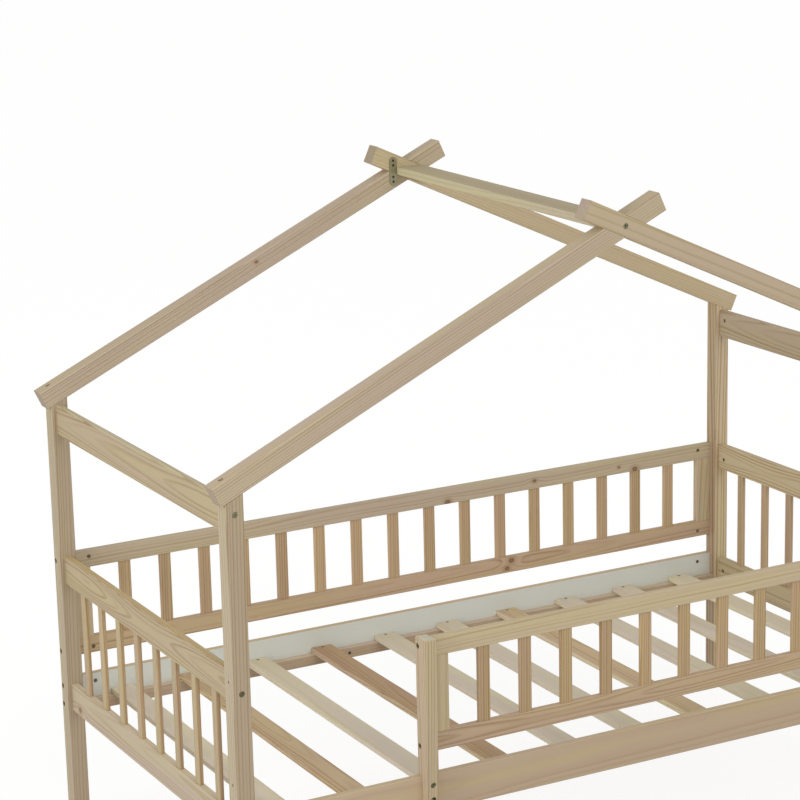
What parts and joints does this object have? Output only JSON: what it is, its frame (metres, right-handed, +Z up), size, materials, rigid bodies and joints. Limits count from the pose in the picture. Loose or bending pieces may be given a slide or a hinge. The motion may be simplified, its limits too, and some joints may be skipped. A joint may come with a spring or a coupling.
{
  "type": "house bed with trundle",
  "caption": "Pine children's bed shaped like a house, with slatted guards and an entry gap, and a low slatted trundle on castors that rolls out from under it.",
  "frame": {"origin": "on the floor, in the middle of the space that the bed and the rolled-out trundle take up", "axes": "+X along the bed from the head end to the foot end, +Y from the trundle towards the bed's back, +Z up"},
  "size_m": [2.0562, 2.33, 1.6582],
  "materials": {
    "pine": "unfinished, sanded",
    "pine_slats": "unfinished, sanded",
    "deck_wood": "unfinished, sawn",
    "zinc": "zinc plated",
    "dark_steel": "phosphated",
    "wheel_plastic": "moulded"
  },
  "bodies": {
    "bed": {"post_front_left": "pine", "post_front_right": "pine", "post_back_left": "pine", "post_back_right": "pine", "rafter_front_left": "pine", "rafter_front_right": "pine", "rafter_back_left": "pine", "rafter_back_right": "pine", "ridge_board": "pine", "head_lower_rail": "pine", "head_top_rail": "pine", "foot_lower_rail": "pine", "foot_top_rail": "pine", "roof_tie_left": "pine", "roof_tie_right": "pine", "back_guard_lower_rail": "pine", "back_guard_top_rail": "pine", "back_guard_stiles": "pine", "front_guard_lower_rail": "pine", "front_guard_top_rail": "pine", "front_guard_stiles": "pine", "front_guard_post": "pine", "side_rail_front": "pine", "side_rail_back": "pine", "head_balusters": "pine_slats", "foot_balusters": "pine_slats", "back_guard_slats": "pine_slats", "front_guard_slats": "pine_slats", "slat_batten_front": "deck_wood", "slat_batten_back": "deck_wood", "bed_slat_01": "deck_wood", "bed_slat_02": "deck_wood", "bed_slat_03": "deck_wood", "bed_slat_04": "deck_wood", "bed_slat_05": "deck_wood", "bed_slat_06": "deck_wood", "bed_slat_07": "deck_wood", "bed_slat_08": "deck_wood", "bed_slat_09": "deck_wood", "bed_slat_10": "deck_wood", "mending_plate": "zinc", "frame_bolts": "zinc", "bolt_nuts": "dark_steel", "roof_screws": "dark_steel", "batten_screws": "dark_steel", "slat_screws": "dark_steel"},
    "trundle": {"trundle_front_panel": "pine", "trundle_back_panel": "pine", "trundle_end_left": "pine", "trundle_end_right": "pine", "trundle_battens": "deck_wood", "trundle_slats": "deck_wood", "castor_boards": "deck_wood", "trundle_screws": "zinc", "castor_brackets": "zinc", "castor_axles": "zinc"},
    "wheel_front_left": {"castor_wheel_front_left": "wheel_plastic"},
    "wheel_front_right": {"castor_wheel_front_right": "wheel_plastic"},
    "wheel_back_left": {"castor_wheel_back_left": "wheel_plastic"},
    "wheel_back_right": {"castor_wheel_back_right": "wheel_plastic"}
  },
  "joints": [
    {"name": "trundle_roll", "type": "slide", "parent": "bed", "child": "trundle", "axis": [0, 1, 0], "range_m": [0, 1.285]},
    {"name": "wheel_front_left_spin", "type": "hinge", "parent": "trundle", "child": "wheel_front_left", "pos_m": [-0.897, -1.075, 0.025], "axis": [1, 0, 0], "continuous": true},
    {"name": "wheel_front_right_spin", "type": "hinge", "parent": "trundle", "child": "wheel_front_right", "pos_m": [0.897, -1.075, 0.025], "axis": [1, 0, 0], "continuous": true},
    {"name": "wheel_back_left_spin", "type": "hinge", "parent": "trundle", "child": "wheel_back_left", "pos_m": [-0.897, -0.295, 0.025], "axis": [1, 0, 0], "continuous": true},
    {"name": "wheel_back_right_spin", "type": "hinge", "parent": "trundle", "child": "wheel_back_right", "pos_m": [0.897, -0.295, 0.025], "axis": [1, 0, 0], "continuous": true}
  ],
  "couplings": [
    {"joint": "wheel_front_left_spin", "follows": "trundle_roll", "rad_per_m": -40},
    {"joint": "wheel_front_right_spin", "follows": "trundle_roll", "rad_per_m": -40},
    {"joint": "wheel_back_left_spin", "follows": "trundle_roll", "rad_per_m": -40},
    {"joint": "wheel_back_right_spin", "follows": "trundle_roll", "rad_per_m": -40}
  ]
}
